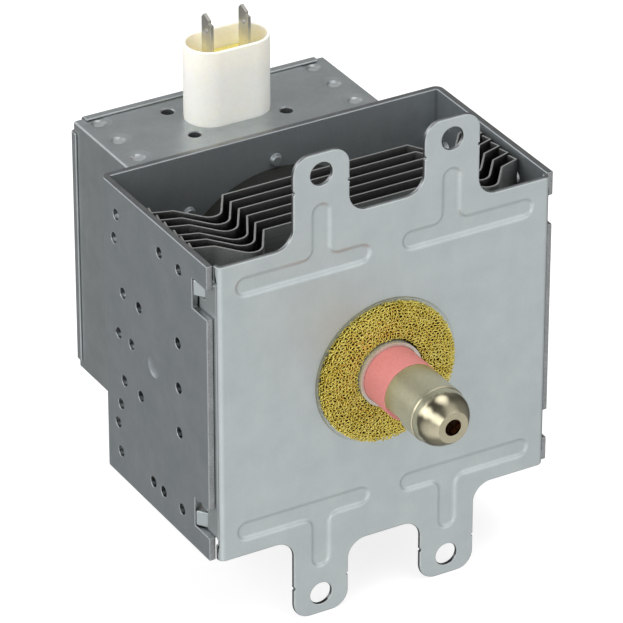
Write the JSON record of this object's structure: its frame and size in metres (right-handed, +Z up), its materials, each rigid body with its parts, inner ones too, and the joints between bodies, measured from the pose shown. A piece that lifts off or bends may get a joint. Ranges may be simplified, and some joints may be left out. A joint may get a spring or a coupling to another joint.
{
  "type": "magnetron",
  "caption": "Oven magnetron: vacuum tube with folded cooling fins between ring magnets in a steel yoke, with antenna, eared mounting plate and a filter box with connector.",
  "frame": {"origin": "on the antenna's axis, on the front face of the mounting plate", "axes": "the antenna points along -Y, +X is to the right seen from the front, the connector points up along +Z"},
  "size_m": [0.0934, 0.1214, 0.1248],
  "materials": {
    "zinc_plate": "zinc-coated sheet, satin",
    "zinc_yoke": "zinc-coated sheet, satin",
    "zinc_box": "zinc-coated sheet, matt",
    "ferrite": "sintered, dull black",
    "brass_wire": "knitted wire, bright",
    "seal_metal": "drawn, plated",
    "pink_alumina": "fired, matt",
    "white_ceramic": "fired, matt",
    "nickel": "drawn, satin nickel",
    "copper": "bare copper",
    "soft_iron": "pressed, bare",
    "tungsten": "drawn wire",
    "fin_aluminium": "rolled sheet",
    "ivory_plastic": "moulded, satin",
    "resin": "cast epoxy",
    "tinned_brass": "tin-plated strip"
  },
  "bodies": {
    "root": {"mounting_plate": "zinc_plate", "yoke": "zinc_yoke", "filter_box": "zinc_box", "filter_cover": "zinc_box", "capacitor_flange": "zinc_box", "front_magnet": "ferrite", "rear_magnet": "ferrite", "ferrite_left": "ferrite", "ferrite_right": "ferrite", "rf_gasket": "brass_wire", "front_seal_cup": "seal_metal", "rear_seal_cup": "seal_metal", "antenna_ceramic": "pink_alumina", "stem_ceramic": "white_ceramic", "capacitor_block": "white_ceramic", "antenna_cap": "nickel", "exhaust_tube": "copper", "antenna_lead": "copper", "anode_cylinder": "copper", "anode_vanes": "copper", "strap_rings": "copper", "choke_left": "copper", "choke_right": "copper", "front_pole_piece": "soft_iron", "rear_pole_piece": "soft_iron", "filament": "tungsten", "front_end_hat": "tungsten", "rear_end_hat": "tungsten", "centre_lead": "tungsten", "side_lead": "tungsten", "fin_1": "fin_aluminium", "fin_2": "fin_aluminium", "fin_3": "fin_aluminium", "fin_4": "fin_aluminium", "fin_5": "fin_aluminium", "fin_6": "fin_aluminium", "connector_case": "ivory_plastic", "potting_resin": "resin", "terminal_left": "tinned_brass", "terminal_right": "tinned_brass"}
  },
  "joints": []
}
